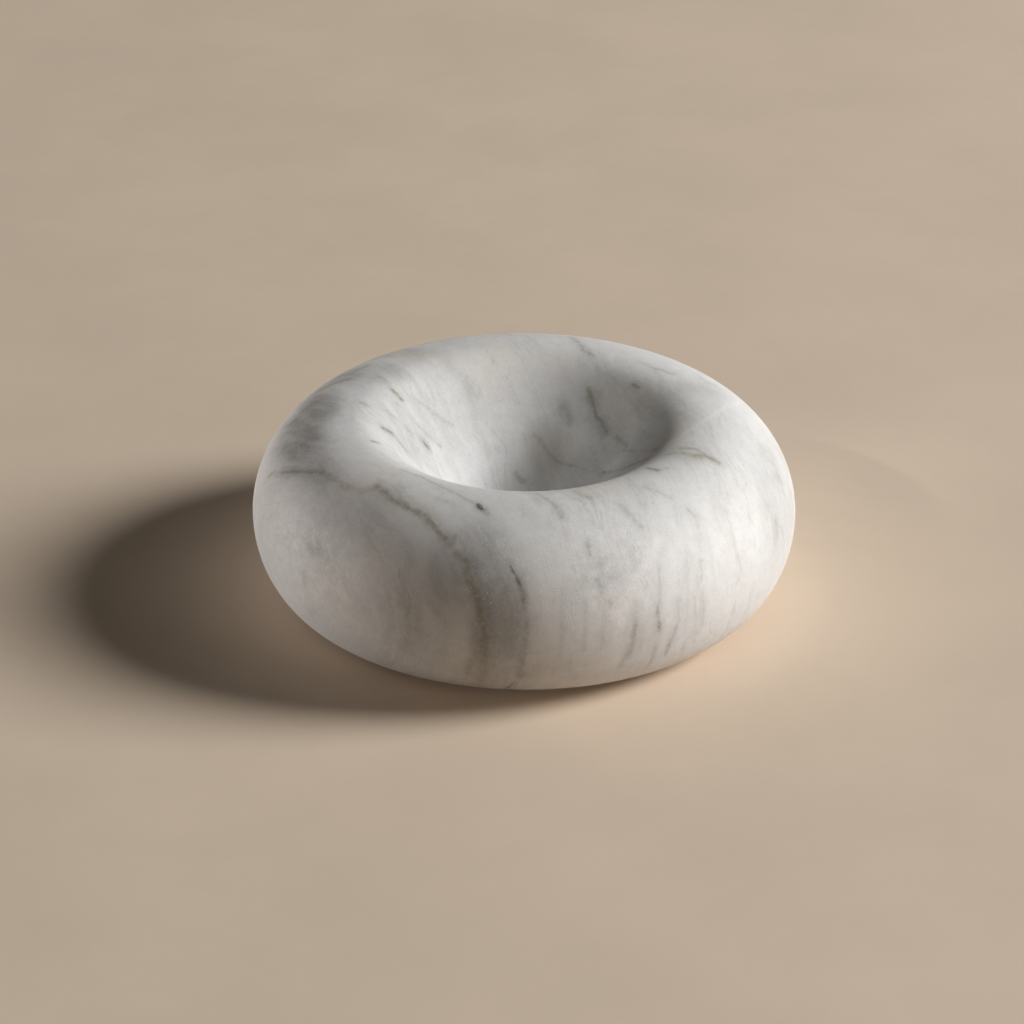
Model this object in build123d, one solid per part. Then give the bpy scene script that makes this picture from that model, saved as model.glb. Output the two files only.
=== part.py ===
from build123d import *
import os
from math import cos, radians, sin

# A ring dish turned from one piece of marble: a thick soft ring that flows into a round bowl.
# It stands on four small rubber pads stuck under its flat ground foot.
# Millimetres, +Z up, origin on the table at the middle of the dish.

# Stone body, heights measured from its ground foot
overall_diameter = 100.0
stone_height = 33.5
girth_height = 15.3          # where the outside is widest
crest_diameter = 64.0        # top of the rounded rim
foot_diameter = 78.0         # flat ground face underneath

# Bowl, from the crest of the rim down to the middle
bowl_depth = 22.5

# Handles of the bowl's curve: across as shares of the crest radius, up as shares of the depth
crest_handle_share = 0.81    # level run on the crest, before the lip turns down
lip_handle_share = 0.67
wall_handle_share = 0.43
wall_rise_share = 0.12
floor_handle_share = 0.23    # level run at the middle of the bowl

# Self-adhesive pads under the foot
pad_count = 4
pad_diameter = 9.0
pad_thickness = 1.0
pad_edge_bevel = 0.25
pad_margin = 7.0             # from the foot's edge to the pad's edge
first_pad_angle = 45.0       # degrees, from +X

overall_radius = overall_diameter / 2
crest_radius = crest_diameter / 2
foot_radius = foot_diameter / 2
pad_radius = pad_diameter / 2
pad_circle_radius = foot_radius - pad_margin - pad_radius

foot_z = pad_thickness
girth_z = foot_z + girth_height
crest_z = foot_z + stone_height
bowl_floor_z = crest_z - bowl_depth


def lip_handle_height():
    """Height of the lip's handle that carries the outside's curvature over the crest."""
    outer_width = overall_radius - crest_radius
    outer_rise = crest_z - girth_z
    crest_curvature = outer_rise / outer_width ** 2
    level_run = crest_radius * (1 - crest_handle_share)
    # A curve with six handles starts with 4/5 of the drop of its third one over the run squared
    drop = crest_curvature * level_run ** 2 * 5 / 4
    return crest_z - drop


def bowl_curve():
    """One smooth curve from the crest of the rim to the middle of the bowl."""
    return Bezier(
        (crest_radius, crest_z),
        (crest_radius * crest_handle_share, crest_z),
        (crest_radius * lip_handle_share, lip_handle_height()),
        (crest_radius * wall_handle_share, bowl_floor_z + bowl_depth * wall_rise_share),
        (crest_radius * floor_handle_share, bowl_floor_z),
        (0, bowl_floor_z),
    )


def stone_dish():
    """The marble body: half of its section, turned once around the vertical axis."""
    foot = Line((0, foot_z), (foot_radius, foot_z))
    underside = EllipticalCenterArc(
        (foot_radius, girth_z),
        overall_radius - foot_radius,
        girth_z - foot_z,
        start_angle=270,
        arc_size=90,
    )
    shoulder = EllipticalCenterArc(
        (crest_radius, girth_z),
        overall_radius - crest_radius,
        crest_z - girth_z,
        start_angle=0,
        arc_size=90,
    )
    bowl = bowl_curve()
    middle = Line((0, bowl_floor_z), (0, foot_z))
    section = make_face(Curve() + [foot, underside, shoulder, bowl, middle])
    return revolve(Plane.XZ * section, axis=Axis.Z)


def foot_pad(angle):
    """A round pad, flat against the foot, with its lower edge bevelled."""
    blank = Cylinder(pad_radius, pad_thickness, align=(Align.CENTER, Align.CENTER, Align.MIN))
    pad = chamfer(blank.edges().sort_by(Axis.Z)[0], pad_edge_bevel)
    across = pad_circle_radius * cos(radians(angle))
    along = pad_circle_radius * sin(radians(angle))
    return Pos(across, along, 0) * pad


os.makedirs("parts", exist_ok=True)

export_step(stone_dish(), "parts/stone_dish.step")

for number in range(pad_count):
    pad_angle = first_pad_angle + number * 360 / pad_count
    export_step(foot_pad(pad_angle), f"parts/foot_pad_{number + 1}.step")
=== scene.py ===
"""Looks of the marble ring dish: honed stone with natural veins, rubber pads and a plain studio."""

import math

import bpy
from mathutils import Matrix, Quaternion, Vector


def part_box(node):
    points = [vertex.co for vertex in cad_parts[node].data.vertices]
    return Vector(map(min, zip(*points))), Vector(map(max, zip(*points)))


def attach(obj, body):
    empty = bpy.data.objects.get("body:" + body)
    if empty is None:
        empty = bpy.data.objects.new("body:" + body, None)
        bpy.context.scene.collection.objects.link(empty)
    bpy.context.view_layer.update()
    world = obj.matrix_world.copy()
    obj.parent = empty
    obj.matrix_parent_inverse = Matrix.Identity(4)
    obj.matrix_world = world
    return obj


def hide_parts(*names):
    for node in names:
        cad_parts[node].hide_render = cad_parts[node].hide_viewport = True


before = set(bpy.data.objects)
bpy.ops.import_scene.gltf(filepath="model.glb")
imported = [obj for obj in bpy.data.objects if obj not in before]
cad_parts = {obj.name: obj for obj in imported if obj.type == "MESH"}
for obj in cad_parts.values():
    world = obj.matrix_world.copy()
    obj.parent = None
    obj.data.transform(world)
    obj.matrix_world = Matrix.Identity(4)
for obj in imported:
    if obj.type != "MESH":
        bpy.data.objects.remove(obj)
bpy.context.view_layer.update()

bl_info = {
    "name": "Marble Ring Dish",
    "version": (1, 0, 0),
    "blender": (4, 5, 0),
    "location": "View3D > Sidebar > Ring Dish",
    "description": "Builds a marble ring dish on rubber pads and a plain studio around it",
    "category": "Object",
}

STONE_LOW, STONE_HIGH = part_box("stone_dish")
PAD_LOW, PAD_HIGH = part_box("foot_pad_1")
MM = 0.001

# How the section of the stone is drawn
RING_SLICES = 96
UNDERSIDE_RINGS = 11
SHOULDER_RINGS = 14
BOWL_RINGS = 23
FOOT_RING_SHARES = (0.72, 0.42, 0.14)
SMOOTHING_LEVELS = 2
PICK_MARGIN = 0.05 * MM
WELD_DISTANCE = 0.002 * MM

# Handles of the bowl's curve: across as shares of the crest radius, up as shares of the depth
CREST_HANDLE_SHARE = 0.81
LIP_HANDLE_SHARE = 0.67
WALL_HANDLE_SHARE = 0.43
WALL_RISE_SHARE = 0.12
FLOOR_HANDLE_SHARE = 0.23

# How a pad is drawn: shares of its thickness, then shares of its radius for the rings on its faces
PAD_SLICES = 48
PAD_FACE_SHARE = 0.49
PAD_UPPER_EDGE_SHARE = 0.08
PAD_RING_SHARES = (0.12, 0.35, 0.30)
PAD_CREASE_ANGLE = 40
PAD_PLACE_MARGIN = 0.5 * MM

# Beam onto the bowl's shaded wall: its radius at the dish and that of its lamp, in metres
BEAM_RADIUS = 0.026
BEAM_LAMP_RADIUS = 0.012

# Where nodes lie in the node editor
NODES_IN_A_COLUMN = 6
NODE_WIDTH = 200
NODE_HEIGHT = 220

# Noises in the materials: how many per millimetre, detail and roughness
SLOW_WAVER = (0.35, 2.0, 0.5)
FAST_WAVER = (1.6, 3.0, 0.6)
VEIN_SWELLING = (0.55, 2.0, 0.5)
VEIN_BREAKS = (0.9, 4.0, 0.65)
BEDDING_WAVES = (0.055, 3.0, 0.5)
IRON_TINT = (0.045, 3.0, 0.5)
COARSE_MOTTLE = (0.40, 6.0, 0.85)
FINE_MOTTLE = (2.2, 3.0, 0.9)
UNEVEN_HONING = (0.12, 4.0, 0.6)
RUBBER_CLOUDS = (0.5, 3.0, 0.5)
RUBBER_DUST = (4.0, 4.0, 0.65)
FLOOR_CLOUDS = (0.02, 5.0, 0.6)

# How far the lines of the veins and the bedding stray, in millimetres
SLOW_STRAY = 0.9
FAST_STRAY = 0.28
BEDDING_STRAY = 7.0

# Bedding: across is X with a share of Y and a shear, along is made of shares of X and Y
ACROSS_SHARE_OF_Y = 0.57
BEDDING_SHEAR = -0.006
ALONG_SHARE_OF_X = -0.5
ALONG_SHARE_OF_Y = 0.87

# Streaks along the bedding
BROAD_STREAKS = {"across": 0.085, "along": 0.030, "detail": 5.0, "low": 0.46, "high": 0.74}
SMOKE = {"across": 0.26, "along": 0.045, "detail": 6.0, "low": 0.50, "high": 0.78}
HAIRS = {"across": 0.75, "along": 0.070, "detail": 4.0, "low": 0.55, "high": 0.80}
FIBRES = {"across": 1.7, "along": 0.22, "detail": 6.0, "low": 0.5, "high": 0.7}

# Shares of the look's cloudiness and streakiness that each layer gets
EVEN_CLOUD_SHARE = 0.55
OLIVE_CLOUD_SHARE = 0.8
SMOKE_SHARE = 0.55
HAIR_SHARE = 0.6
FIBRE_SHARES = (0.12, 0.5)

# What large crystals add to the mottle, and the fine mottle's share
LARGE_CRYSTAL_MOTTLE = 0.53
LARGE_CRYSTAL_FINE_MOTTLE = 0.35
FINE_MOTTLE_SHARE = 0.2

# Crystal grain: its size, how rare glinting faces are, and what it does to the colour (a painted glint) and
# the roughness
CRYSTALS_PER_MM = 2.6
SPARKLE_RARITY = 0.955
SPARKLE_SHARE = 0.6
GRAIN_SHARE = 0.16
GRAIN_TONES = ((0.35, 0.35, 0.35), (1.0, 1.0, 1.0))
GRAIN_ROUGHNESS = 0.08
SPARKLE_ROUGHNESS = -0.22

# Fine veinlets: across and along the bedding per millimetre, thickness, rarity, strength and colour
VEINLETS = (
    (0.16, 0.040, 0.050, 0.51, 0.16, "olive"),
    (0.30, 0.060, 0.036, 0.53, 0.20, "cloud_grey_and_shade"),
    (0.50, 0.080, 0.020, 0.56, 0.22, "dark"),
)

# Haze around a vein: how many times its width and how many millimetres more, and its share of the strength
HAZE_WIDTH = 2.2
HAZE_MARGIN = 0.5
HAZE_STRENGTH = 0.30

# Veins of the stone: width in millimetres, strength, and the places that the vein runs through
# in tenths of a millimetre
GREY_VEINS = (
    (1.2, 0.5, (-461, -81, 266), (-435, -116, 288), (-397, -157, 310), (-365, -178, 323), (-348, -199, 326)),
    (5, 0.46, (-87, -452, 277), (-69, -482, 231), (-59, -495, 189), (-62, -488, 107)),
    (1.5, 0.55, (-11, -470, 264), (-2, -486, 233), (3, -498, 191), (-1, -498, 137), (-8, -484, 82)),
    (4, 0.38, (-34, -461, 275), (-19, -486, 233), (-14, -499, 181), (-17, -497, 131)),
    (1.3, 0.6, (-255, -8, 323), (-235, -10, 305), (-216, -22, 287)),
    (0.6, 0.4, (-234, 97, 321), (-193, 84, 279), (-156, 86, 241)),
    (0.7, 0.35, (-258, 56, 329), (-229, 54, 306), (-207, 52, 282)),
    (0.8, 0.3, (-209, 137, 319), (-172, 134, 287), (-135, 137, 257)),
    (1.1, 0.5, (-414, 72, 314), (-374, 94, 332)),
    (1.3, 0.65, (-385, 160, 317), (-359, 166, 328), (-329, 167, 338)),
    (1, 0.5, (-323, 208, 333), (-294, 231, 337)),
    (1.6, 0.55, (-434, -40, 302), (-401, -70, 322), (-383, -68, 331)),
    (0.9, 0.3, (216, 234, 345), (244, 209, 345)),
    (0.8, 0.3, (327, 186, 336), (356, 165, 329)),
    (2.6, 0.42, (126, 185, 293), (135, 156, 274), (152, 117, 256)),
    (1.5, 0.45, (70, 190, 270), (87, 169, 255)),
    (0.8, 0.3, (235, -209, 345), (255, -201, 345)),
    (1, 0.38, (168, -332, 337), (187, -349, 328), (203, -367, 314)),
    (0.8, 0.34, (266, -422, 144), (255, -421, 107)),
    (1.3, 0.28, (196, -453, 211), (195, -460, 181), (192, -462, 154), (185, -458, 113), (170, -454, 85)),
    (0.7, 0.28, (231, -439, 123), (227, -430, 90), (216, -420, 62)),
    (1.1, 0.16, (131, -434, 285), (138, -469, 225), (137, -481, 152)),
    (0.9, 0.15, (103, -456, 267), (107, -484, 203), (103, -488, 136)),
    (1, 0.14, (65, -475, 248), (66, -494, 189), (63, -493, 129)),
    (0.9, 0.14, (282, -381, 257), (287, -407, 192), (281, -408, 120)),
    (1, 0.5, (-13, 112, 168), (-2, 102, 159)),
    (1.5, 0.42, (64, 453, 280), (34, 481, 243), (43, 495, 195), (0, 499, 142)),
    (1.4, 0.45, (-435, 176, 265), (-413, 248, 243), (-376, 305, 237), (-332, 369, 201)),
    (1.2, 0.4, (248, 430, 201), (272, 419, 152), (261, 417, 106)),
)
OLIVE_VEINS = (
    (1.2, 0.42, (-339, -211, 326), (-314, -246, 326)),
    (1.4, 0.26, (-314, -246, 326), (-287, -267, 330), (-266, -267, 336)),
    (1.15, 0.7, (-262, -263, 337), (-240, -292, 335), (-218, -320, 332), (-197, -336, 331),
        (-175, -356, 328), (-159, -379, 320), (-145, -397, 312), (-129, -413, 305)),
    (0.8, 0.45, (-218, -317, 333), (-176, -354, 328), (-145, -396, 313)),
    (1.2, 0.5, (-134, -414, 303), (-121, -407, 312)),
    (1.2, 0.48, (-119, -428, 295), (-101, -444, 283), (-96, -463, 259)),
    (1.15, 0.56, (-96, -463, 259), (-83, -477, 236), (-76, -488, 209), (-69, -495, 169), (-69, -492, 127)),
    (0.9, 0.28, (-69, -492, 127), (-67, -485, 97), (-76, -464, 58)),
    (1, 0.22, (-81, -493, 158), (-85, -488, 119), (-97, -471, 76)),
    (0.6, 0.34, (-219, -214, 344), (-185, -235, 343), (-149, -276, 345), (-92, -332, 343)),
    (0.7, 0.35, (-273, 167, 345), (-244, 127, 335)),
    (0.7, 0.85, (-244, 127, 335), (-227, 114, 322)),
    (0.5, 0.35, (-302, 58, 345), (-289, 50, 342)),
    (0.7, 0.3, (-242, -107, 330), (-226, -114, 321)),
    (0.8, 0.45, (88, 355, 339), (112, 286, 344), (127, 268, 343)),
    (0.8, 0.32, (245, 209, 345), (275, 184, 345)),
    (1, 0.6, (119, 200, 303), (124, 187, 294)),
    (0.9, 0.45, (170, 92, 259), (189, 50, 262)),
    (0.7, 0.4, (184, 48, 254), (237, -79, 319)),
    (0.7, 0.32, (20, 164, 225), (58, 125, 193), (95, 99, 192)),
    (0.9, 0.4, (257, -140, 342), (285, -142, 345), (313, -159, 342)),
    (1.1, 0.6, (303, -151, 344), (321, -144, 342)),
    (0.8, 0.45, (279, -120, 344), (307, -125, 345), (325, -142, 342)),
    (0.9, 0.65, (321, -144, 342), (346, -156, 335)),
    (0.8, 0.38, (23, -302, 344), (55, -344, 343), (63, -372, 336)),
    (0.9, 0.32, (87, -289, 344), (100, -310, 345), (116, -313, 345)),
    (0.8, 0.22, (212, -271, 343), (254, -289, 333)),
    (0.7, 0.28, (289, -301, 316), (299, -310, 306)),
    (0.6, 0.15, (301, -316, 302), (309, -367, 246), (312, -389, 182), (317, -383, 128)),
    (0.6, 0.26, (309, -367, 246), (311, -381, 217)),
    (0.6, 0.2, (314, -387, 191), (316, -387, 157)),
    (0.6, 0.16, (299, -398, 191), (301, -393, 120)),
    (0.6, 0.14, (356, -265, 295), (372, -304, 246), (385, -314, 197)),
    (0.65, 0.24, (236, -411, 257), (236, -428, 227), (235, -438, 197), (236, -441, 158)),
    (0.6, 0.2, (267, -419, 198), (273, -419, 156)),
    (0.8, 0.32, (195, -460, 181), (192, -462, 154), (185, -458, 113)),
    (0.5, 0.16, (446, -51, 290), (463, -89, 261), (474, -107, 233)),
    (0.6, 0.2, (452, -181, 231), (466, -170, 199)),
    (1.6, 0.26, (-214, -447, 202), (-203, -454, 196)),
    (1.6, 0.16, (-209, -453, 182), (-207, -453, 134)),
    (1.3, 0.18, (-161, -466, 213), (-146, -475, 195)),
    (0.9, 0.45, (70, 398, 324), (53, 432, 302), (64, 457, 275)),
    (0.9, 0.34, (50, 473, 254), (35, 495, 201)),
    (0.8, 0.3, (0, 499, 142), (-26, 490, 101), (-16, 469, 57)),
    (0.9, 0.6, (-417, 241, 243), (-377, 306, 234), (-338, 363, 201)),
    (1.1, 0.42, (-320, 382, 188), (-286, 409, 147), (-274, 407, 101)),
    (0.8, 0.32, (385, 280, 254), (412, 268, 219), (414, 280, 169), (425, 255, 121)),
    (0.7, 0.26, (-154, 475, 176), (-137, 477, 126), (-142, 464, 87)),
)
DARK_VEINS = (
    (0.5, 0.34, (-435, -116, 288), (-397, -157, 310), (-361, -183, 323)),
    (0.6, 0.62, (-23, -456, 282), (-16, -465, 271), (-8, -472, 259)),
    (0.55, 0.38, (-8, -472, 259), (-4, -480, 246), (-2, -487, 232)),
    (0.5, 0.55, (-18, -467, 55), (-32, -445, 31)),
    (0.75, 0.95, (-82, -341, 342), (-73, -353, 340)),
    (0.9, 0.4, (-74, -350, 341), (-66, -363, 338)),
    (0.6, 0.5, (-258, -10, 325), (-242, -3, 312)),
    (0.5, 0.55, (-275, -95, 341), (-264, -96, 338)),
    (0.55, 0.65, (-187, 61, 263), (-178, 57, 251)),
    (0.8, 0.45, (-431, 46, 304), (-418, 48, 314)),
    (0.55, 0.4, (202, 172, 329), (211, 159, 329)),
    (0.65, 0.34, (128, 178, 289), (134, 155, 273), (145, 135, 264), (152, 118, 258)),
    (0.6, 0.38, (144, 43, 207), (193, -29, 261), (225, -117, 322)),
    (0.6, 0.55, (214, -193, 341), (235, -209, 345)),
    (0.55, 0.34, (233, -439, 197), (233, -441, 182)),
    (0.6, 0.36, (235, -441, 164), (236, -440, 148)),
    (0.55, 0.28, (257, -422, 111), (250, -416, 88)),
    (0.8, 0.3, (108, -418, 306), (113, -430, 294)),
    (0.7, 0.3, (126, -458, 256), (134, -461, 246)),
    (0.7, 0.3, (147, -467, 222), (152, -468, 217)),
    (1.5, 0.26, (-380, -302, 234), (-365, -320, 234)),
    (0.6, 0.55, (-201, 412, 280), (-192, 430, 262)),
    (0.6, 0.45, (230, 432, 225), (249, 431, 195)),
)
HEALED_VEINS = (
    (0.9, 0.75, (395, 113, 320), (348, 21, 343), (318, -25, 345), (281, -65, 341), (235, -106, 325),
        (206, -154, 325), (172, -233, 341)),
    (1.6, 0.62, (231, -382, 293), (201, -432, 254), (170, -465, 203), (158, -464, 98)),
    (1, 0.4, (232, 261, 343), (196, 184, 332)),
    (1.2, 0.35, (7, 211, 280), (-4, 177, 240), (-13, 143, 200)),
    (1.2, 0.45, (-105, 423, 302), (-75, 473, 248), (-112, 486, 182), (-86, 486, 111)),
)

# Soft clouds in the stone, in millimetres: strength, middle, and reach along X, Y and Z; some grey ones are
# painted shade and some white ones are painted light, as marked below
WARM_CLOUDS = (
    (0.9, (-0.9, 25.9, 32.5), (19, 8, 9)),
    (0.8, (-17.8, 26.3, 34.5), (10, 5, 4)),
    (0.9, (18.7, 12.8, 29.7), (10, 12, 9)),
    (0.8, (25.4, -6.4, 32.8), (8, 10, 6)),
    (0.9, (-28, -24.7, 33.7), (9, 9, 6)),
    (0.6, (-21.4, -33.8, 32.6), (8, 6, 6)),
    (0.8, (5.9, 13.6, 20.5), (8, 10, 6)),
    (0.7, (10.6, -28.6, 34.4), (13, 6, 5)),
    (0.5, (-32.1, -15.1, 34.1), (5, 10, 4)),
)
GREY_CLOUDS_AND_SHADE = (
    (0.95, (-40.2, -5.6, 32.3), (7.5, 14, 8)),
    (0.85, (-42.8, -0.3, 30.8), (6, 10, 8)),
    (0.88, (-38.3, 5.8, 33.2), (6, 12, 6)),
    (0.7, (-36.9, -16.4, 32.4), (7, 7, 4.5)),
    (0.6, (-33.4, 19.1, 33.3), (7, 7, 5)),
    (0.42, (-26.9, 16.7, 34.5), (12, 7, 5)),
    (0.56, (-22, 6.1, 29.8), (12, 16, 12)),
    (0.36, (-14.3, 18.1, 30.1), (13, 15, 14)),
    (0.32, (-15.7, 9.7, 24.8), (9, 14, 12)),
    (0.54, (-7.4, -43.4, 29.9), (8, 9, 9)),
    (0.62, (-5.2, -49.2, 20.9), (7.5, 6, 15)),
    (0.5, (-12.5, -45.8, 25.6), (6.5, 7, 11)),
    (0.46, (-24.7, -30.7, 32.9), (5, 6, 5)),
    # The next three grey clouds, low on the front and left, are partly the stone's grey and partly painted
    # shade on the lower flank
    (0.46, (-21.2, -45.3, 15.8), (18, 12, 13)),
    (0.4, (-29.6, -38.4, 8.6), (16, 14, 9)),
    (0.36, (-4.1, -48, 7.8), (18, 8, 6)),
    (0.24, (-46.9, -15.4, 21), (7, 14, 14)),
    (0.3, (16.2, -42.2, 28.6), (9, 8, 9)),
    (0.5, (15.2, 11, 25.2), (5.5, 9, 7)),
    (0.42, (11.9, 8.1, 20), (7, 7, 5)),
    (0.5, (20.4, 0.5, 27.2), (6, 8, 6)),
    (0.32, (7.2, 18.4, 26.4), (3, 5, 4)),
    (0.28, (32.5, 12.9, 34.3), (8, 6, 5)),
    (0.22, (20.2, -45.6, 13.8), (10, 7, 6)),
    # The clouds at (46.1, -13.3, 24.7) and (46.7, -2.3, 26.7) are painted shade: they darken the right limb
    # where the key lamp lights it most
    (0.46, (46.1, -13.3, 24.7), (8, 19, 15)),
    (0.16, (38.5, -23.2, 29), (8, 8, 8)),
    (0.38, (46.7, -2.3, 26.7), (6, 14, 10)),
    (0.42, (-35.6, 34.4, 20.7), (13, 12, 11)),
    (0.36, (1.7, 49.8, 18.8), (10, 12, 14)),
)
OLIVE_CLOUDS = (
    (0.4, (-24.5, 28.6, 33.6), (11, 4, 4)),
    (0.5, (3.9, 14, 20.2), (5, 8, 6)),
    (0.38, (29.6, -14.9, 34.5), (8, 5, 4)),
    (0.3, (25.2, 40.4, 25.4), (12, 10, 7)),
)
WHITE_CLOUDS_AND_LIGHT = (
    (0.7, (-40.3, -22.7, 27.4), (6, 12, 8)),
    (0.75, (-31.1, -10.6, 34.5), (6, 16, 4)),
    (0.8, (-31.5, -34.2, 27.1), (11, 9, 11)),
    # The clouds at (2.3, -41.8, 31.5), (11.4, -37.3, 33.1) and (-10, -29.8, 34.5) are partly the stone's
    # white and partly painted light on the upper front
    (0.9, (2.3, -41.8, 31.5), (8, 8, 10)),
    (0.9, (11.4, -37.3, 33.1), (13, 10, 10)),
    (0.6, (-3, 12, 17.8), (6, 7, 4)),
    (0.5, (-10, -29.8, 34.5), (9, 5, 4)),
    (0.7, (2.9, 21.4, 28.5), (9, 12, 14)),
)
CRYSTAL_CLOUDS = (
    (1, (15.2, -44.1, 26.9), (9, 10, 12)),
    (0.7, (-6, -44.6, 29), (7, 10, 10)),
    (0.8, (-38.8, -6.7, 32.9), (8, 14, 9)),
    (0.8, (-37.8, -31.5, 21.6), (14, 22, 15)),
)


def setting(kind, **limits):
    """Gives a function that makes a setting of this kind from its name, its value and its description."""
    def make(name, value, description):
        return kind(name=name, description=description, default=value, **limits)
    return make


millimetres = setting(bpy.props.FloatProperty, min=0.0001, unit="LENGTH", precision=4)
colour = setting(bpy.props.FloatVectorProperty, size=3, min=0.0, max=1.0, subtype="COLOR")
share = setting(bpy.props.FloatProperty, min=0.0, max=1.0, subtype="FACTOR")
strength = setting(bpy.props.FloatProperty, min=0.0)
count = setting(bpy.props.IntProperty, min=3, max=12)


class DishSizes(bpy.types.PropertyGroup):
    """Sizes of the stone and of its pads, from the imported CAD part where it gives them."""

    overall_radius: millimetres("Overall radius", STONE_HIGH.x, "Half the width of the dish at its girth")
    crest_radius: millimetres("Crest radius", 32.0 * MM, "From the middle to the top of the rounded rim")
    foot_radius: millimetres("Foot radius", 39.0 * MM, "Half the width of the flat ground foot")
    foot_height: millimetres("Foot height", STONE_LOW.z, "Height of the ground foot above the table")
    girth_height: millimetres("Girth height", 16.3 * MM, "Height of the widest place above the table")
    crest_height: millimetres("Crest height", STONE_HIGH.z, "Height of the rim above the table")
    bowl_depth: millimetres("Bowl depth", 22.5 * MM, "From the rim down to the middle of the bowl")
    pad_radius: millimetres("Pad radius", (PAD_HIGH.x - PAD_LOW.x) / 2, "Half the width of a rubber pad")
    pad_edge: millimetres("Pad edge", 0.28 * MM, "Radius of the rounded lower edge of a pad")
    pad_count: count("Pads", 4, "Number of pads under the foot")


class MarbleLook(bpy.types.PropertyGroup):
    """Colours and finish of the marble."""

    stone: colour("Stone", (0.84, 0.835, 0.82), "The white of the clean marble")
    warm_stone: colour("Warm stone", (0.83, 0.79, 0.735), "Where a little iron has tinted the white")
    # This grey also colours the painted shade on the lower flank and on the right limb
    cloud_grey_and_shade: colour("Cloud grey", (0.365, 0.362, 0.35), "The soft grey clouds")
    olive: colour("Olive", (0.30, 0.265, 0.19), "The olive brown of the iron veins")
    dark: colour("Dark", (0.10, 0.105, 0.095), "The darkest mineral specks and veins")
    # This pale colour paints the healed veins and also the painted glint on crystal faces
    calcite_and_glint: colour("Calcite", (0.93, 0.90, 0.875), "The bright healed veins and sparkling crystals")
    cloudiness: share("Cloudiness", 0.32, "How strongly the whole stone is clouded")
    streakiness: share("Streakiness", 0.32, "How strongly the bedding shows as fine streaks")
    mottle: share("Mottle", 0.37, "How strongly the stone's brightness varies from grain to grain")
    # Sparkle sets how strongly some crystal faces are painted brighter, a painted glint
    sparkle: share("Sparkle", 0.55, "How bright the crystal faces are")
    roughness: share("Roughness", 0.58, "Roughness of the honed surface")
    grain_relief: millimetres("Grain relief", 0.045 * MM, "Height of the fine crystal relief")


class StageLook(bpy.types.PropertyGroup):
    """Floor, lamps and camera."""

    floor_colour: colour("Floor", (0.87, 0.712, 0.553), "Colour of the plain floor")
    floor_bounce: colour("Floor bounce", (0.51, 0.385, 0.28), "Colour that the floor throws onto the dish")
    shade_light: colour("Shade light", (1.0, 0.965, 0.95), "Colour of the fill lamp on the shaded side")
    front_light: colour("Front light", (1.0, 0.85, 0.70), "Colour of the weak lamp beside the camera")
    backdrop: colour("Backdrop", (0.50, 0.43, 0.36), "Colour seen beyond the floor")
    key_power: strength("Key power", 91.5, "Power of the large lamp on the right")
    low_key_power: strength("Low key power", 14.3, "Power of the low lamp under the key lamp")
    front_power: strength("Front power", 0.68, "Power of the weak lamp beside the camera")
    fill_power: strength("Fill power", 5.0, "Power of the low soft lamp on the left")
    bowl_power: strength("Bowl power", 5.0, "Power of the narrow lamp onto the bowl's shaded wall")
    sky_light: colour("Room colour", (1.0, 0.98, 0.95), "Colour of the even light from all around")
    sky_strength: strength("Room light", 0.0, "Even light from all around")


# Modelling by hand

def clear_selection():
    """Leaves nothing selected, so that an operator acts on the new piece alone."""
    if bpy.context.object and bpy.context.object.mode != "OBJECT":
        bpy.ops.object.mode_set(mode="OBJECT")
    bpy.ops.object.select_all(action="DESELECT")


def select_vertices(piece, wanted):
    """Selects the vertices whose place passes the test, and goes back to edit mode."""
    bpy.ops.object.mode_set(mode="EDIT")
    bpy.ops.mesh.select_mode(type="VERT")
    bpy.ops.mesh.select_all(action="DESELECT")
    bpy.ops.object.mode_set(mode="OBJECT")
    for vertex in piece.data.vertices:
        vertex.select = wanted(vertex.co)
    bpy.ops.object.mode_set(mode="EDIT")


def select_only(piece):
    """Makes the piece the only selected one and the active one."""
    clear_selection()
    piece.select_set(True)
    bpy.context.view_layer.objects.active = piece


def draw_rings(rings, start):
    """Extrudes the selected ring through (radius, height) places, one after the other."""
    radius, height = start
    for next_radius, next_height in rings:
        bpy.ops.mesh.extrude_region_move(TRANSFORM_OT_translate={"value": (0, 0, next_height - height)})
        factor = next_radius / radius
        bpy.ops.transform.resize(value=(factor, factor, 1), center_override=(0, 0, next_height))
        radius, height = next_radius, next_height


def close_ring():
    """Closes the selected ring with faces that meet in its middle."""
    bpy.ops.mesh.extrude_region_move()
    bpy.ops.mesh.merge(type="CENTER")


def finish_piece(piece, name, material, slot, *nodes):
    """Settles the piece at the origin, gives it its material and puts it in the place of its CAD nodes."""
    bpy.ops.object.mode_set(mode="OBJECT")
    bpy.ops.object.transform_apply()
    piece.name = name
    piece.data.name = name
    piece.data.materials.clear()
    piece.data.materials.append(material)
    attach(piece, "root")
    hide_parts(*nodes)


def arc(middle, width, height, rise, first, steps):
    """Places along a quarter of an ellipse, from an angle in degrees on."""
    turns = [math.radians(first + 90 * step / steps) for step in range(1, steps + 1)]
    return [(middle + width * math.cos(turn), height + rise * math.sin(turn)) for turn in turns]


def outside_rings(sizes):
    """Rings of the outside, from the edge of the foot round the girth to the crest."""
    foot, crest, outer = sizes.foot_radius, sizes.crest_radius, sizes.overall_radius
    girth = sizes.girth_height
    underside = arc(foot, outer - foot, girth, girth - sizes.foot_height, 270, UNDERSIDE_RINGS)
    return underside + arc(crest, outer - crest, girth, sizes.crest_height - girth, 0, SHOULDER_RINGS)


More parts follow.
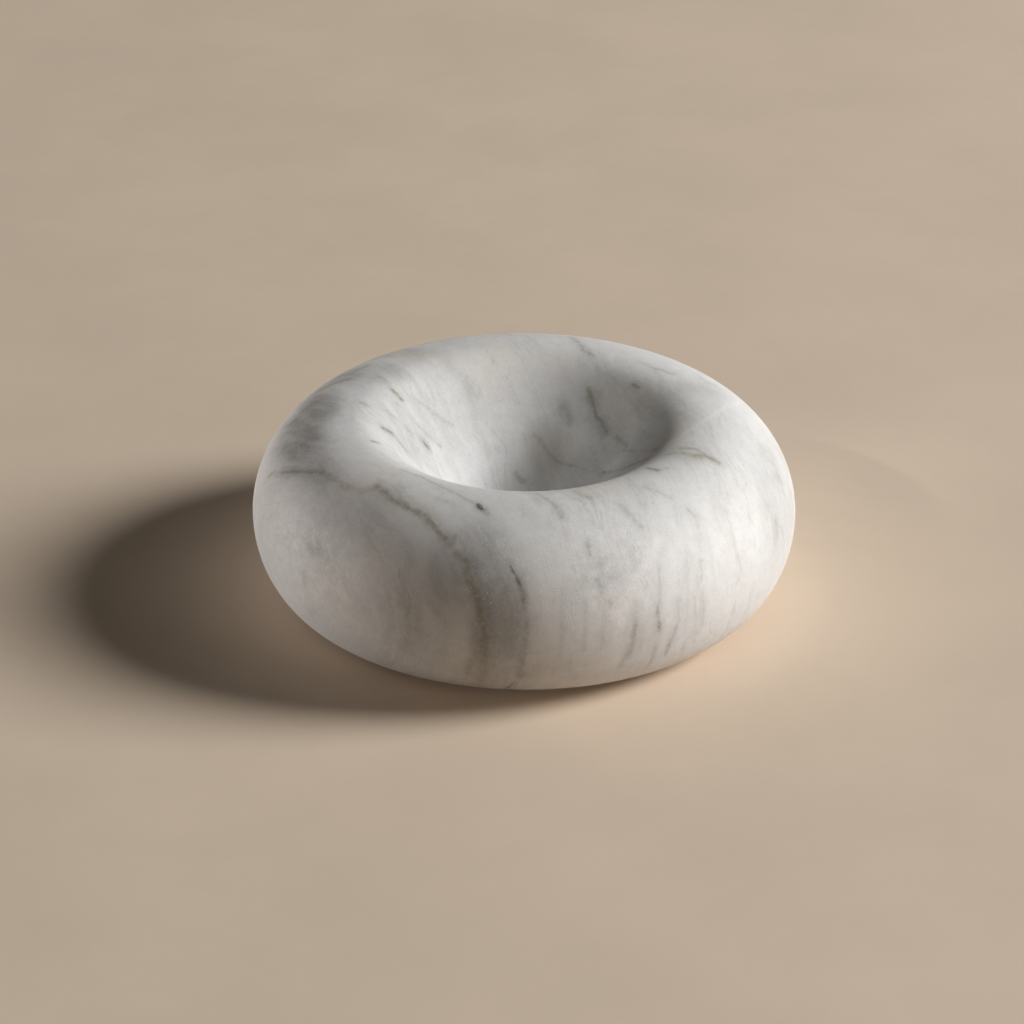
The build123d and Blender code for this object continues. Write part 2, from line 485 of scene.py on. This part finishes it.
def bowl_rings(sizes):
    """Rings of the bowl, from just inside the crest to just outside its middle."""
    crest = sizes.crest_radius
    top = sizes.crest_height
    floor = top - sizes.bowl_depth
    shoulder_width = sizes.overall_radius - crest
    crest_curvature = (top - sizes.girth_height) / shoulder_width ** 2
    level_run = crest * (1 - CREST_HANDLE_SHARE)
    handles = (
        (crest, top),
        (crest * CREST_HANDLE_SHARE, top),
        (crest * LIP_HANDLE_SHARE, top - crest_curvature * level_run ** 2 * 5 / 4),
        (crest * WALL_HANDLE_SHARE, floor + sizes.bowl_depth * WALL_RISE_SHARE),
        (crest * FLOOR_HANDLE_SHARE, floor),
        (0.0, floor),
    )
    order = len(handles) - 1
    rings = []
    for step in range(1, BOWL_RINGS + 1):
        along = step / (BOWL_RINGS + 1)
        pulls = [math.comb(order, k) * along ** k * (1 - along) ** (order - k) for k in range(order + 1)]
        radius = sum(pull * handle[0] for pull, handle in zip(pulls, handles))
        rings.append((radius, sum(pull * handle[1] for pull, handle in zip(pulls, handles))))
    return rings


# Materials

def new_node(tree, kind, **settings):
    """Adds a node to the right of the last one and applies its settings."""
    node = tree.nodes.new(kind)
    column, row = divmod(len(tree.nodes), NODES_IN_A_COLUMN)
    node.location = (column * NODE_WIDTH, -row * NODE_HEIGHT)
    for setting, value in settings.items():
        setattr(node, setting, value)
    return node


def feed(socket, value):
    """Links a socket into another one, or sets a plain value on it."""
    if isinstance(value, bpy.types.NodeSocket):
        socket.id_data.links.new(value, socket)
    elif value is not None:
        socket.default_value = value


def number(tree, operation, first, second=None, third=None):
    """A Math node; gives its value."""
    node = new_node(tree, "ShaderNodeMath", operation=operation)
    for socket, value in zip(node.inputs, (first, second, third)):
        feed(socket, value)
    return node.outputs["Value"]


def arrow(tree, operation, first, second=None, scale=None):
    """A Vector Math node; gives its vector, or its value where it makes a number."""
    node = new_node(tree, "ShaderNodeVectorMath", operation=operation)
    for name, value in ((0, first), (1, second), ("Scale", scale)):
        if value is not None:
            feed(node.inputs[name], value)
    return node.outputs["Value" if operation in ("DOT_PRODUCT", "LENGTH") else "Vector"]


def remap(tree, value, low, high, to_low=0.0, to_high=1.0, smooth=True):
    """A Map Range node, a smooth step or a clamped line; gives its result."""
    kind = "SMOOTHSTEP" if smooth else "LINEAR"
    node = new_node(tree, "ShaderNodeMapRange", interpolation_type=kind, clamp=not smooth)
    for name, bound in zip(("From Min", "From Max", "To Min", "To Max"), (low, high, to_low, to_high)):
        feed(node.inputs[name], bound)
    feed(node.inputs["Value"], value)
    return node.outputs["Result"]


def noise(tree, place, scale, detail, roughness, output="Fac"):
    """A 3-D Noise node; gives its value, or its colour."""
    node = new_node(tree, "ShaderNodeTexNoise", noise_dimensions="3D")
    for name, value in zip(("Vector", "Scale", "Detail", "Roughness"), (place, scale, detail, roughness)):
        feed(node.inputs[name], value)
    return node.outputs[output]


def stray(tree, noise_colour, reach):
    """A small arrow off to any side, from the colour of a noise."""
    return arrow(tree, "SCALE", arrow(tree, "SUBTRACT", noise_colour, (0.5, 0.5, 0.5)), scale=reach)


def vary(tree, noise_value, depth, level):
    """Raises and lowers a level by a noise around its middle."""
    return number(tree, "MULTIPLY_ADD", number(tree, "SUBTRACT", noise_value, 0.5), depth, level)


def blend(tree, amount, under, over, way="MIX"):
    """A Mix node for colours; gives its colour."""
    node = new_node(tree, "ShaderNodeMix", data_type="RGBA", blend_type=way)
    feed(node.inputs["Factor"], amount)
    colours = [socket for socket in node.inputs if socket.type == "RGBA"]
    for socket, value in zip(colours, (under, over)):
        feed(socket, value if isinstance(value, bpy.types.NodeSocket) else (*value, 1.0))
    return [socket for socket in node.outputs if socket.type == "RGBA"][0]


def glaze(tree, under, paint, mask, strength):
    """Lays a colour over another one where the mask is, at a share of its strength."""
    return blend(tree, number(tree, "MULTIPLY", mask, strength), under, paint)


def seen_by_camera(tree):
    """A mask that tells what the camera sees, also in gloss or through glass, from what lights the scene."""
    rays = new_node(tree, "ShaderNodeLightPath").outputs
    seen = number(tree, "MAXIMUM", rays["Is Camera Ray"], rays["Is Glossy Ray"])
    return number(tree, "MAXIMUM", seen, rays["Is Transmission Ray"])


def new_group(name, arrows, numbers, outputs, output_type="NodeSocketFloat"):
    """A node group with arrows and numbers going in; gives its tree, what goes in and what comes out."""
    tree = bpy.data.node_groups.new(name, "ShaderNodeTree")
    for socket_name in arrows:
        tree.interface.new_socket(name=socket_name, in_out="INPUT", socket_type="NodeSocketVector")
    for socket_name, default in numbers.items():
        socket = tree.interface.new_socket(name=socket_name, in_out="INPUT", socket_type="NodeSocketFloat")
        socket.default_value = default
    for socket_name in outputs:
        tree.interface.new_socket(name=socket_name, in_out="OUTPUT", socket_type=output_type)
    start = new_node(tree, "NodeGroupInput")
    end = new_node(tree, "NodeGroupOutput")
    return tree, start.outputs, end.inputs


def use_group(tree, group, **values):
    """Places a group in a tree; an input's name is written with underscores for spaces."""
    node = new_node(tree, "ShaderNodeGroup", node_tree=group)
    for name, value in values.items():
        feed(node.inputs[name.replace("_", " ").capitalize()], value)
    return node.outputs


def vein_group():
    """A straight stretch of a vein, strongest on its line, with a soft haze around it."""
    tree, given, made = new_group(
        "Stone vein stretch",
        ("Place", "Start", "End"),
        {"Width": 0.5, "Strength": 1.0, "Swell": 1.0, "So far": 0.0, "Haze so far": 0.0},
        ("Mask", "Haze"),
    )
    run = arrow(tree, "SUBTRACT", given["End"], given["Start"])
    reach = arrow(tree, "SUBTRACT", given["Place"], given["Start"])
    ahead = arrow(tree, "DOT_PRODUCT", reach, run)
    along = number(tree, "DIVIDE", ahead, arrow(tree, "DOT_PRODUCT", run, run))
    along = number(tree, "MAXIMUM", number(tree, "MINIMUM", along, 1.0), 0.0)
    nearest = arrow(tree, "SCALE", run, scale=along)
    distance = arrow(tree, "LENGTH", arrow(tree, "SUBTRACT", reach, nearest))
    swollen = number(tree, "DIVIDE", distance, given["Swell"])
    mask = remap(tree, swollen, 0.0, given["Width"], given["Strength"], 0.0)
    feed(made["Mask"], number(tree, "MAXIMUM", mask, given["So far"]))
    hazy_width = number(tree, "ADD", number(tree, "MULTIPLY", given["Width"], HAZE_WIDTH), HAZE_MARGIN)
    hazy_strength = number(tree, "MULTIPLY", given["Strength"], HAZE_STRENGTH)
    haze = remap(tree, distance, 0.0, hazy_width, hazy_strength, 0.0)
    feed(made["Haze"], number(tree, "MAXIMUM", haze, given["Haze so far"]))
    return tree


def cloud_group():
    """A soft patch of colour inside the stone, with a reach of its own in each direction."""
    tree, given, made = new_group(
        "Stone cloud", ("Place", "Middle", "Reach"), {"Strength": 0.5, "So far": 0.0}, ("Mask",)
    )
    full, gone = 0.2, 1.15
    offset = arrow(tree, "SUBTRACT", given["Place"], given["Middle"])
    distance = arrow(tree, "LENGTH", arrow(tree, "DIVIDE", offset, given["Reach"]))
    mask = remap(tree, distance, full, gone, given["Strength"], 0.0)
    feed(made["Mask"], number(tree, "MAXIMUM", mask, given["So far"]))
    return tree


def bedding_group():
    """Bends a place a little, and turns it into across, along and up the stone's bedding."""
    tree, given, made = new_group(
        "Stone bedding", ("Place",), {"Bend": 2.0}, ("Bedding", "Bent place"), "NodeSocketVector"
    )
    waves = noise(tree, given["Place"], *BEDDING_WAVES, "Color")
    bent = arrow(tree, "ADD", given["Place"], stray(tree, waves, given["Bend"]))
    parts = new_node(tree, "ShaderNodeSeparateXYZ")
    feed(parts.inputs[0], bent)
    x, y, z = parts.outputs
    shear = number(tree, "MULTIPLY", number(tree, "MULTIPLY", x, y), BEDDING_SHEAR)
    across = number(tree, "ADD", number(tree, "MULTIPLY_ADD", y, ACROSS_SHARE_OF_Y, x), shear)
    along = number(tree, "MULTIPLY_ADD", x, ALONG_SHARE_OF_X, number(tree, "MULTIPLY", y, ALONG_SHARE_OF_Y))
    joined = new_node(tree, "ShaderNodeCombineXYZ")
    for socket, value in zip(joined.inputs, (across, along, z)):
        feed(socket, value)
    feed(made["Bedding"], joined.outputs[0])
    feed(made["Bent place"], bent)
    return tree


def stretch_bedding(tree, given):
    """The place in the bedding, drawn out along it."""
    sizes = new_node(tree, "ShaderNodeCombineXYZ")
    for socket, name in zip(sizes.inputs, ("Across", "Along", "Along")):
        feed(socket, given[name])
    return arrow(tree, "MULTIPLY", given["Bedding"], sizes.outputs[0])


def streak_group():
    """Streaks drawn out along the bedding: a soft mask between a low and a high noise value."""
    tree, given, made = new_group(
        "Bedding streaks",
        ("Bedding",),
        {"Across": 0.3, "Along": 0.05, "Detail": 5.0, "Low": 0.5, "High": 0.8},
        ("Mask", "Value"),
    )
    roughness = 0.58
    field = noise(tree, stretch_bedding(tree, given), 1.0, given["Detail"], roughness)
    feed(made["Mask"], remap(tree, field, given["Low"], given["High"]))
    feed(made["Value"], field)
    return tree


def veinlet_group():
    """Fine broken lines along the bedding: thin bands where a stretched noise crosses its middle."""
    tree, given, made = new_group(
        "Stone veinlets",
        ("Bedding",),
        {"Across": 0.4, "Along": 0.1, "Thickness": 0.02, "Rarity": 0.5},
        ("Mask",),
    )
    lines = (1.0, 5.0, 0.62)
    gaps = (0.7, 3.0, 0.6)
    gaps_elsewhere = (7.3, 2.9, 5.1)
    gap_softness = 0.12
    stretched = stretch_bedding(tree, given)
    off_middle = number(tree, "ABSOLUTE", number(tree, "SUBTRACT", noise(tree, stretched, *lines), 0.5))
    line = remap(tree, off_middle, 0.0, given["Thickness"], 1.0, 0.0)
    patches = noise(tree, arrow(tree, "ADD", stretched, gaps_elsewhere), *gaps)
    kept = remap(tree, patches, given["Rarity"], number(tree, "ADD", given["Rarity"], gap_softness))
    feed(made["Mask"], number(tree, "MULTIPLY", line, kept))
    return tree


def crystal_group():
    """Crystal grain: an even tone that varies from crystal to crystal, a mask of faces for a painted glint,
    and a fine relief.
    """
    tree, given, made = new_group(
        "Crystal grain",
        ("Place",),
        {"Crystals per mm": 2.0, "Rarity": 0.93},
        ("Tone", "Sparkle", "Relief"),
    )
    finer, detail, roughness = 1.7, 3.0, 0.6
    face_core, face_edge = 0.20, 0.55
    cells = new_node(tree, "ShaderNodeTexVoronoi", voronoi_dimensions="3D", feature="F1")
    feed(cells.inputs["Vector"], given["Place"])
    feed(cells.inputs["Scale"], given["Crystals per mm"])
    chance = new_node(tree, "ShaderNodeSeparateColor")
    feed(chance.inputs[0], cells.outputs["Color"])
    fine_scale = number(tree, "MULTIPLY", given["Crystals per mm"], finer)
    fine = noise(tree, given["Place"], fine_scale, detail, roughness)
    halves = [number(tree, "MULTIPLY", part, 0.5) for part in (chance.outputs[0], fine)]
    tone = number(tree, "ADD", *halves)
    chosen = number(tree, "GREATER_THAN", chance.outputs[1], given["Rarity"])
    core = remap(tree, cells.outputs["Distance"], face_core, face_edge, 1.0, 0.0)
    feed(made["Tone"], tone)
    feed(made["Sparkle"], number(tree, "MULTIPLY", chosen, core))
    feed(made["Relief"], fine)
    return tree


def new_material(name, gloss=0.5):
    """A material; gives it with its tree, its shader and the place in the object in millimetres."""
    material = bpy.data.materials.new(name)
    material.use_nodes = True
    tree = material.node_tree
    shader = tree.nodes["Principled BSDF"]
    shader.inputs["Specular IOR Level"].default_value = gloss
    coordinates = new_node(tree, "ShaderNodeTexCoord")
    return material, tree, shader, arrow(tree, "SCALE", coordinates.outputs["Object"], scale=1 / MM)


def relief(tree, shader, height, depth):
    """Feeds a height through a Bump node into the shader."""
    bump = new_node(tree, "ShaderNodeBump")
    bump.inputs["Distance"].default_value = depth
    feed(bump.inputs["Height"], height)
    feed(shader.inputs["Normal"], bump.outputs["Normal"])


def draw_veins(tree, group, place, swell, veins):
    """All stretches of some veins: one mask for the veins and one for the haze around them."""
    mask, haze = None, None
    for width, strength, *places in veins:
        route = [tuple(tenths / 10 for tenths in stop) for stop in places]
        for start, end in zip(route, route[1:]):
            mask, haze = use_group(
                tree, group, place=place, start=start, end=end, width=width, strength=strength, swell=swell,
                so_far=mask, haze_so_far=haze
            )
    return mask, haze


def draw_clouds(tree, group, place, clouds):
    """One mask for some clouds."""
    mask = None
    for strength, middle, reach in clouds:
        mask = use_group(
            tree, group, place=place, middle=middle, reach=reach, strength=strength, so_far=mask
        )["Mask"]
    return mask


def marble_material(look):
    """Honed white marble: clouds and streaks along its bedding, veins, healed veins and crystal grain; some
    grey clouds are painted shade, some white clouds are painted light, and some crystal faces carry a
    painted glint.
    """
    material, tree, shader, place = new_material("Honed marble", gloss=0.25)
    vein, cloud = vein_group(), cloud_group()
    bedding_tree, streaks, crystals = bedding_group(), streak_group(), crystal_group()

    # The veins' lines waver a little, at two sizes, and swell and thin out
    slow = noise(tree, place, *SLOW_WAVER, "Color")
    fast = noise(tree, place, *FAST_WAVER, "Color")
    slow_shift = stray(tree, slow, SLOW_STRAY)
    fast_shift = stray(tree, fast, FAST_STRAY)
    wavering = arrow(tree, "ADD", place, arrow(tree, "ADD", slow_shift, fast_shift))
    thin, thick = 0.60, 1.40
    swell = remap(tree, noise(tree, place, *VEIN_SWELLING), 0.32, 0.68, thin, thick, False)

    bent = use_group(tree, bedding_tree, place=place, bend=BEDDING_STRAY)
    bedding, bent_place = bent["Bedding"], bent["Bent place"]
    broad = use_group(tree, streaks, bedding=bedding, **BROAD_STREAKS)
    smoke = use_group(tree, streaks, bedding=bedding, **SMOKE)
    hair = use_group(tree, streaks, bedding=bedding, **HAIRS)
    tint = noise(tree, place, *IRON_TINT)
    breaking = noise(tree, place, *VEIN_BREAKS)

    most_tint = 0.4
    tinted = remap(tree, tint, 0.50, 0.72, 0.0, most_tint)
    tinted = number(tree, "MAXIMUM", tinted, draw_clouds(tree, cloud, bent_place, WARM_CLOUDS))
    base = blend(tree, tinted, look.stone, look.warm_stone)

    # Clouds, torn along the bedding; the grey ones include painted shade
    least_cloud = 0.58
    torn = remap(tree, smoke["Value"], 0.34, 0.60, least_cloud, 1.0)
    grey_clouds_and_shade = number(tree, "MULTIPLY", draw_clouds(tree, cloud, bent_place, GREY_CLOUDS_AND_SHADE), torn)
    olive_clouds = number(tree, "MULTIPLY", draw_clouds(tree, cloud, bent_place, OLIVE_CLOUDS), torn)
    even_clouds = number(tree, "MULTIPLY", broad["Mask"], look.cloudiness * EVEN_CLOUD_SHARE)
    clouded = blend(tree, number(tree, "MAXIMUM", grey_clouds_and_shade, even_clouds), base, look.cloud_grey_and_shade)
    coloured = glaze(tree, clouded, look.olive, olive_clouds, OLIVE_CLOUD_SHARE)

    # Fine streaks, the finest ones only where the smoke is
    coloured = glaze(tree, coloured, look.cloud_grey_and_shade, smoke["Mask"], look.streakiness * SMOKE_SHARE)
    hairs = number(tree, "MULTIPLY", hair["Mask"], smoke["Value"])
    coloured = glaze(tree, coloured, look.olive, hairs, look.streakiness * HAIR_SHARE)
    # White clouds bring back clean stone; some of them are painted light on the upper front
    coloured = blend(tree, draw_clouds(tree, cloud, bent_place, WHITE_CLOUDS_AND_LIGHT), coloured, look.stone)

    # Fine veinlets, and what the grain leaves of the veins
    least_vein = 0.42
    gaps = remap(tree, breaking, 0.34, 0.54, least_vein, 1.0)
    veinlets = veinlet_group()
    for across, along, thickness, rarity, strength, paint in VEINLETS:
        found = use_group(
            tree, veinlets, bedding=bedding, across=across, along=along, thickness=thickness, rarity=rarity
        )
        coloured = glaze(tree, coloured, getattr(look, paint), found["Mask"], strength)

    # The veins themselves
    for veins, paint in (
        (GREY_VEINS, look.cloud_grey_and_shade), (OLIVE_VEINS, look.olive), (DARK_VEINS, look.dark),
        (HEALED_VEINS, look.calcite_and_glint)
    ):
        lines, haze = draw_veins(tree, vein, wavering, swell, veins)
        coloured = blend(tree, haze, coloured, paint)
        coloured = glaze(tree, coloured, paint, lines, gaps)

    # Mottle from coarse to fine, strongest where the crystals are large
    large = draw_clouds(tree, cloud, bent_place, CRYSTAL_CLOUDS)
    mottle = noise(tree, place, *COARSE_MOTTLE)
    fibres = use_group(tree, streaks, bedding=bedding, **FIBRES)
    fine_mottle = noise(tree, place, *FINE_MOTTLE)
    depth = number(tree, "MULTIPLY_ADD", large, LARGE_CRYSTAL_MOTTLE, look.mottle)
    shade = vary(tree, mottle, depth, 1.0)
    least, most = (look.streakiness * part for part in FIBRE_SHARES)
    shade = vary(tree, fibres["Value"], remap(tree, smoke["Value"], 0.36, 0.62, least, most), shade)
    fine_depth = look.mottle * FINE_MOTTLE_SHARE
    fine_depth = number(tree, "MULTIPLY_ADD", large, LARGE_CRYSTAL_FINE_MOTTLE, fine_depth)
    mottled = arrow(tree, "SCALE", coloured, scale=vary(tree, fine_mottle, fine_depth, shade))

    # Crystal grain over everything; some crystal faces get a painted glint, their colour lightened towards
    # the pale vein colour
    crystal = use_group(tree, crystals, place=place, crystals_per_mm=CRYSTALS_PER_MM, rarity=SPARKLE_RARITY)
    speck = number(tree, "MULTIPLY", crystal["Sparkle"], look.sparkle)
    speck = number(
        tree, "MULTIPLY", speck, number(tree, "MULTIPLY_ADD", large, SPARKLE_SHARE, SPARKLE_SHARE)
    )
    grain = blend(tree, crystal["Tone"], *GRAIN_TONES)
    toned = blend(tree, GRAIN_SHARE, mottled, grain, "OVERLAY")
    feed(shader.inputs["Base Color"], blend(tree, speck, toned, look.calcite_and_glint))

    # Honing that is smoother in some places, and in the crystal faces with the painted glint
    smoother, rougher = look.roughness - 0.09, look.roughness + 0.02
    rough = remap(tree, noise(tree, place, *UNEVEN_HONING), 0.3, 0.7, smoother, rougher, False)
    rough = number(tree, "MULTIPLY_ADD", crystal["Tone"], GRAIN_ROUGHNESS, rough)
    rough = number(tree, "MULTIPLY_ADD", speck, SPARKLE_ROUGHNESS, rough)
    feed(shader.inputs["Roughness"], rough)
    relief(tree, shader, crystal["Relief"], look.grain_relief)
    return material


def rubber_material():
    """Soft pale rubber of the pads, a little cloudy and dusty."""
    material, tree, shader, place = new_material("Pad rubber")
    grey, pale, dust_colour = (0.70, 0.70, 0.68), (0.74, 0.74, 0.72), (0.55, 0.53, 0.50)
    most_dust, smoother, rougher, dust_height = 0.35, 0.48, 0.66, 0.01 * MM
    cloudy = noise(tree, place, *RUBBER_CLOUDS)
    dust = noise(tree, place, *RUBBER_DUST)
    body = blend(tree, remap(tree, cloudy, 0.3, 0.7), grey, pale)
    dusty = blend(tree, remap(tree, dust, 0.58, 0.75, 0.0, most_dust), body, dust_colour)
    feed(shader.inputs["Base Color"], dusty)
    feed(shader.inputs["Roughness"], remap(tree, dust, 0.3, 0.7, smoother, rougher, False))
    relief(tree, shader, dust, dust_height)
    return material


def floor_material(look):
    """A plain matt floor with hardly any tone in it, which throws light of another colour onto the dish."""
    material, tree, shader, place = new_material("Plain floor", gloss=0.1)
    change = 0.03
    lighter = tuple(min(1.0, part * (1 + change)) for part in look.floor_colour)
    darker = tuple(part * (1 - change) for part in look.floor_colour)
    faint = remap(tree, noise(tree, place, *FLOOR_CLOUDS), 0.3, 0.7)
    seen = blend(tree, faint, darker, lighter)
    feed(shader.inputs["Base Color"], blend(tree, seen_by_camera(tree), look.floor_bounce, seen))
    shader.inputs["Roughness"].default_value = 0.9
    return material


# Operators

class RINGDISH_OT_stone(bpy.types.Operator):
    """Models the marble body of the dish from its foot ring and gives it its marble"""

    bl_idname = "ringdish.stone"
    bl_label = "Marble Dish"
    bl_options = {"REGISTER", "UNDO"}

    def execute(self, context):
        sizes = context.scene.ringdish_sizes
        clear_selection()
        foot = (sizes.foot_radius, sizes.foot_height)
        bpy.ops.mesh.primitive_circle_add(vertices=RING_SLICES, radius=foot[0], location=(0, 0, foot[1]))
        piece = context.object
        bpy.ops.object.transform_apply()
        bpy.ops.object.mode_set(mode="EDIT")
        bpy.ops.mesh.select_all(action="SELECT")
        draw_rings(outside_rings(sizes) + bowl_rings(sizes), foot)
        close_ring()

        edge, level = foot[0] + PICK_MARGIN, foot[1] + PICK_MARGIN
        select_vertices(piece, lambda co: co.z < level and math.hypot(co.x, co.y) < edge)
        draw_rings([(foot[0] * part, foot[1]) for part in FOOT_RING_SHARES], foot)
        close_ring()

        bpy.ops.mesh.select_all(action="SELECT")
        bpy.ops.mesh.remove_doubles(threshold=WELD_DISTANCE)
        bpy.ops.mesh.normals_make_consistent()
        bpy.ops.object.mode_set(mode="OBJECT")
        smoothing = piece.modifiers.new("Smoothing", "SUBSURF")
        smoothing.levels = SMOOTHING_LEVELS
        smoothing.render_levels = SMOOTHING_LEVELS
        bpy.ops.object.modifier_apply(modifier=smoothing.name)
        bpy.ops.object.shade_smooth()
        if len(piece.data.polygons) < RING_SLICES:
            raise RuntimeError("the marble dish has too few faces")
        marble = marble_material(context.scene.ringdish_marble)
        finish_piece(piece, "marble_dish", marble, "marble", "stone_dish")
        return {"FINISHED"}


class RINGDISH_OT_pads(bpy.types.Operator):
    """Models one rubber pad with a rounded edge and copies it to its places under the foot"""

    bl_idname = "ringdish.pads"
    bl_label = "Rubber Pads"
    bl_options = {"REGISTER", "UNDO"}

    def execute(self, context):
        sizes = context.scene.ringdish_sizes
        clear_selection()
        middle = (PAD_LOW + PAD_HIGH) / 2
        thickness = PAD_HIGH.z - PAD_LOW.z
        to_face = thickness * PAD_FACE_SHARE
        bpy.ops.mesh.primitive_cylinder_add(
            vertices=PAD_SLICES, radius=sizes.pad_radius, depth=thickness, location=middle
        )
        pad = context.object
        bpy.ops.object.transform_apply()
        for side, edge, steps in ((-1, sizes.pad_edge, 4), (1, thickness * PAD_UPPER_EDGE_SHARE, 2)):
            select_vertices(pad, lambda co: (co.z - middle.z) * side > to_face)
            bpy.ops.mesh.bevel(offset=edge, segments=steps, affect="EDGES")
        face_radius = sizes.pad_radius - sizes.pad_edge / 5
        for side in (-1, 1):
            select_vertices(
                pad, lambda co: (co.z - middle.z) * side > to_face
                and math.hypot(co.x - middle.x, co.y - middle.y) < face_radius
            )
            for part in PAD_RING_SHARES:
                bpy.ops.mesh.inset(thickness=sizes.pad_radius * part)
        bpy.ops.mesh.select_all(action="SELECT")
        bpy.ops.mesh.normals_make_consistent()
        bpy.ops.object.mode_set(mode="OBJECT")
        bpy.ops.object.shade_smooth_by_angle(angle=math.radians(PAD_CREASE_ANGLE))

        pads = [pad]
        for number_of_pad in range(1, sizes.pad_count):
            select_only(pad)
            bpy.ops.object.duplicate()
            turn = 2 * math.pi * number_of_pad / sizes.pad_count
            bpy.ops.transform.rotate(value=turn, orient_axis="Z", center_override=(0, 0, 0))
            bpy.ops.object.transform_apply()
            pads.append(context.object)
        rubber = rubber_material()
        for copy in pads:
            select_only(copy)
            node = self.node_of(copy)
            finish_piece(copy, node.replace("foot_pad", "rubber_pad"), rubber, "pad_rubber", node)
        return {"FINISHED"}

    def node_of(self, pad):
        """The CAD pad that stands where this pad is."""
        spread = list(zip(*(vertex.co for vertex in pad.data.vertices)))
        middle = (Vector(map(min, spread)) + Vector(map(max, spread))) / 2
        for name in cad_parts:
            if name.startswith("foot_pad"):
                low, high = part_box(name)
                if ((low + high) / 2 - middle).length < PAD_PLACE_MARGIN:
                    return name
        raise RuntimeError("no CAD pad stands where this pad is")


class RINGDISH_OT_stage(bpy.types.Operator):
    """Sets the floor, the lamps, the room light and the camera"""

    bl_idname = "ringdish.stage"
    bl_label = "Studio"
    bl_options = {"REGISTER", "UNDO"}

    def execute(self, context):
        look = context.scene.ringdish_stage
        clear_selection()
        bpy.ops.mesh.primitive_plane_add(size=6.0)
        floor = context.object
        bpy.ops.object.mode_set(mode="EDIT")
        bpy.ops.mesh.subdivide(number_cuts=3)
        bpy.ops.object.mode_set(mode="OBJECT")
        floor.name = "floor"
        floor.data.materials.append(floor_material(look))

        self.soft_lamp("key", look.key_power, (1.25, 1.15), azimuth=3, elevation=29.5, distance=3.0)
        self.soft_lamp("low_key", look.low_key_power, (1.20, 0.60), azimuth=-16, elevation=6.5, distance=3.0)
        fill = self.soft_lamp("fill", look.fill_power, (0.60, 0.06), azimuth=167, elevation=1.2)
        fill.color = look.shade_light
        shaded_wall = (17, 18, 31)
        beam = self.lamp("SPOT", "bowl_light", look.bowl_power, shaded_wall, azimuth=208, elevation=35)
        beam.spot_size = 2 * math.atan(BEAM_RADIUS)
        beam.spot_blend = 1.0
        beam.shadow_soft_size = BEAM_LAMP_RADIUS
        front = self.soft_lamp("front", look.front_power, (0.70, 0.30), azimuth=-62, elevation=13)
        front.color = look.front_light
        self.room_light(context.scene, look)
        self.camera(context.scene)
        context.scene.view_settings.view_transform = "Standard"
        return {"FINISHED"}

    def lamp(self, kind, name, power, aim, azimuth, elevation, distance=1.0):
        """A lamp that looks at a place given in millimetres; azimuth 0 is +X and 90 is +Y."""
        turn, lift = math.radians(azimuth), math.radians(elevation)
        away = Vector((math.cos(turn) * math.cos(lift), math.sin(turn) * math.cos(lift), math.sin(lift)))
        bpy.ops.object.light_add(type=kind, location=Vector(aim) * MM + away * distance)
        lamp = bpy.context.object
        lamp.name = name
        lamp.rotation_euler = (-away).to_track_quat("-Z", "Y").to_euler()
        lamp.data.energy = power
        return lamp.data

    def soft_lamp(self, name, power, spread, azimuth, elevation, distance=1.0):
        """An oval soft lamp, given wide and high, that looks at the dish."""
        dish = (0, 0, 15)
        lamp = self.lamp("AREA", name, power, dish, azimuth, elevation, distance)
        lamp.shape = "ELLIPSE"
        lamp.size, lamp.size_y = spread
        return lamp

    def room_light(self, scene, look):
        """Weak even light, with a plain backdrop where the camera looks past the floor."""
        world = bpy.data.worlds.new("Room")
        scene.world = world
        world.use_nodes = True
        tree = world.node_tree
        background = tree.nodes["Background"].inputs
        seen = seen_by_camera(tree)
        feed(background["Color"], blend(tree, seen, look.sky_light, look.backdrop))
        feed(background["Strength"], remap(tree, seen, 0.0, 1.0, look.sky_strength, 1.0, False))

    def camera(self, scene):
        """The photograph's camera, found from the outline, the lip and the shadow of the dish."""
        aim = Vector((-2.21, 0.0, 14.87)) * MM
        distance = 718.0 * MM
        elevation = math.radians(27.81)
        roll = math.radians(0.362)
        back = Vector((0, -math.cos(elevation), math.sin(elevation)))
        bpy.ops.object.camera_add(location=aim + back * distance)
        camera = bpy.context.object
        camera.name = "camera"
        camera.rotation_mode = "QUATERNION"
        camera.rotation_quaternion = (-back).to_track_quat("-Z", "Y") @ Quaternion((0, 0, 1), roll)
        camera.data.angle = math.radians(15.0)
        camera.data.clip_start = 0.01
        scene.camera = camera


class RINGDISH_PT_panel(bpy.types.Panel):
    """Lists the pieces of the ring dish with their sizes and colours"""

    bl_label = "Ring Dish"
    bl_idname = "RINGDISH_PT_panel"
    bl_space_type = "VIEW_3D"
    bl_region_type = "UI"
    bl_category = "Ring Dish"

    def draw(self, context):
        scene = context.scene
        for title, operator, settings in (
            ("Marble dish", RINGDISH_OT_stone.bl_idname, (scene.ringdish_sizes, scene.ringdish_marble)),
            ("Rubber pads", RINGDISH_OT_pads.bl_idname, ()),
            ("Studio", RINGDISH_OT_stage.bl_idname, (scene.ringdish_stage,)),
        ):
            box = self.layout.box()
            box.label(text=title)
            for group in settings:
                for name in group.__annotations__:
                    box.prop(group, name)
            box.operator(operator)


SETTINGS = {"ringdish_sizes": DishSizes, "ringdish_marble": MarbleLook, "ringdish_stage": StageLook}
CLASSES = (
    *SETTINGS.values(),
    RINGDISH_OT_stone,
    RINGDISH_OT_pads,
    RINGDISH_OT_stage,
    RINGDISH_PT_panel,
)


def register():
    for each in CLASSES:
        bpy.utils.register_class(each)
    for name, group in SETTINGS.items():
        setattr(bpy.types.Scene, name, bpy.props.PointerProperty(type=group))


def unregister():
    for name in SETTINGS:
        delattr(bpy.types.Scene, name)
    for each in reversed(CLASSES):
        bpy.utils.unregister_class(each)


def main():
    register()
    bpy.ops.ringdish.stone()
    bpy.ops.ringdish.pads()
    bpy.ops.ringdish.stage()


if __name__ == "__main__":
    main()
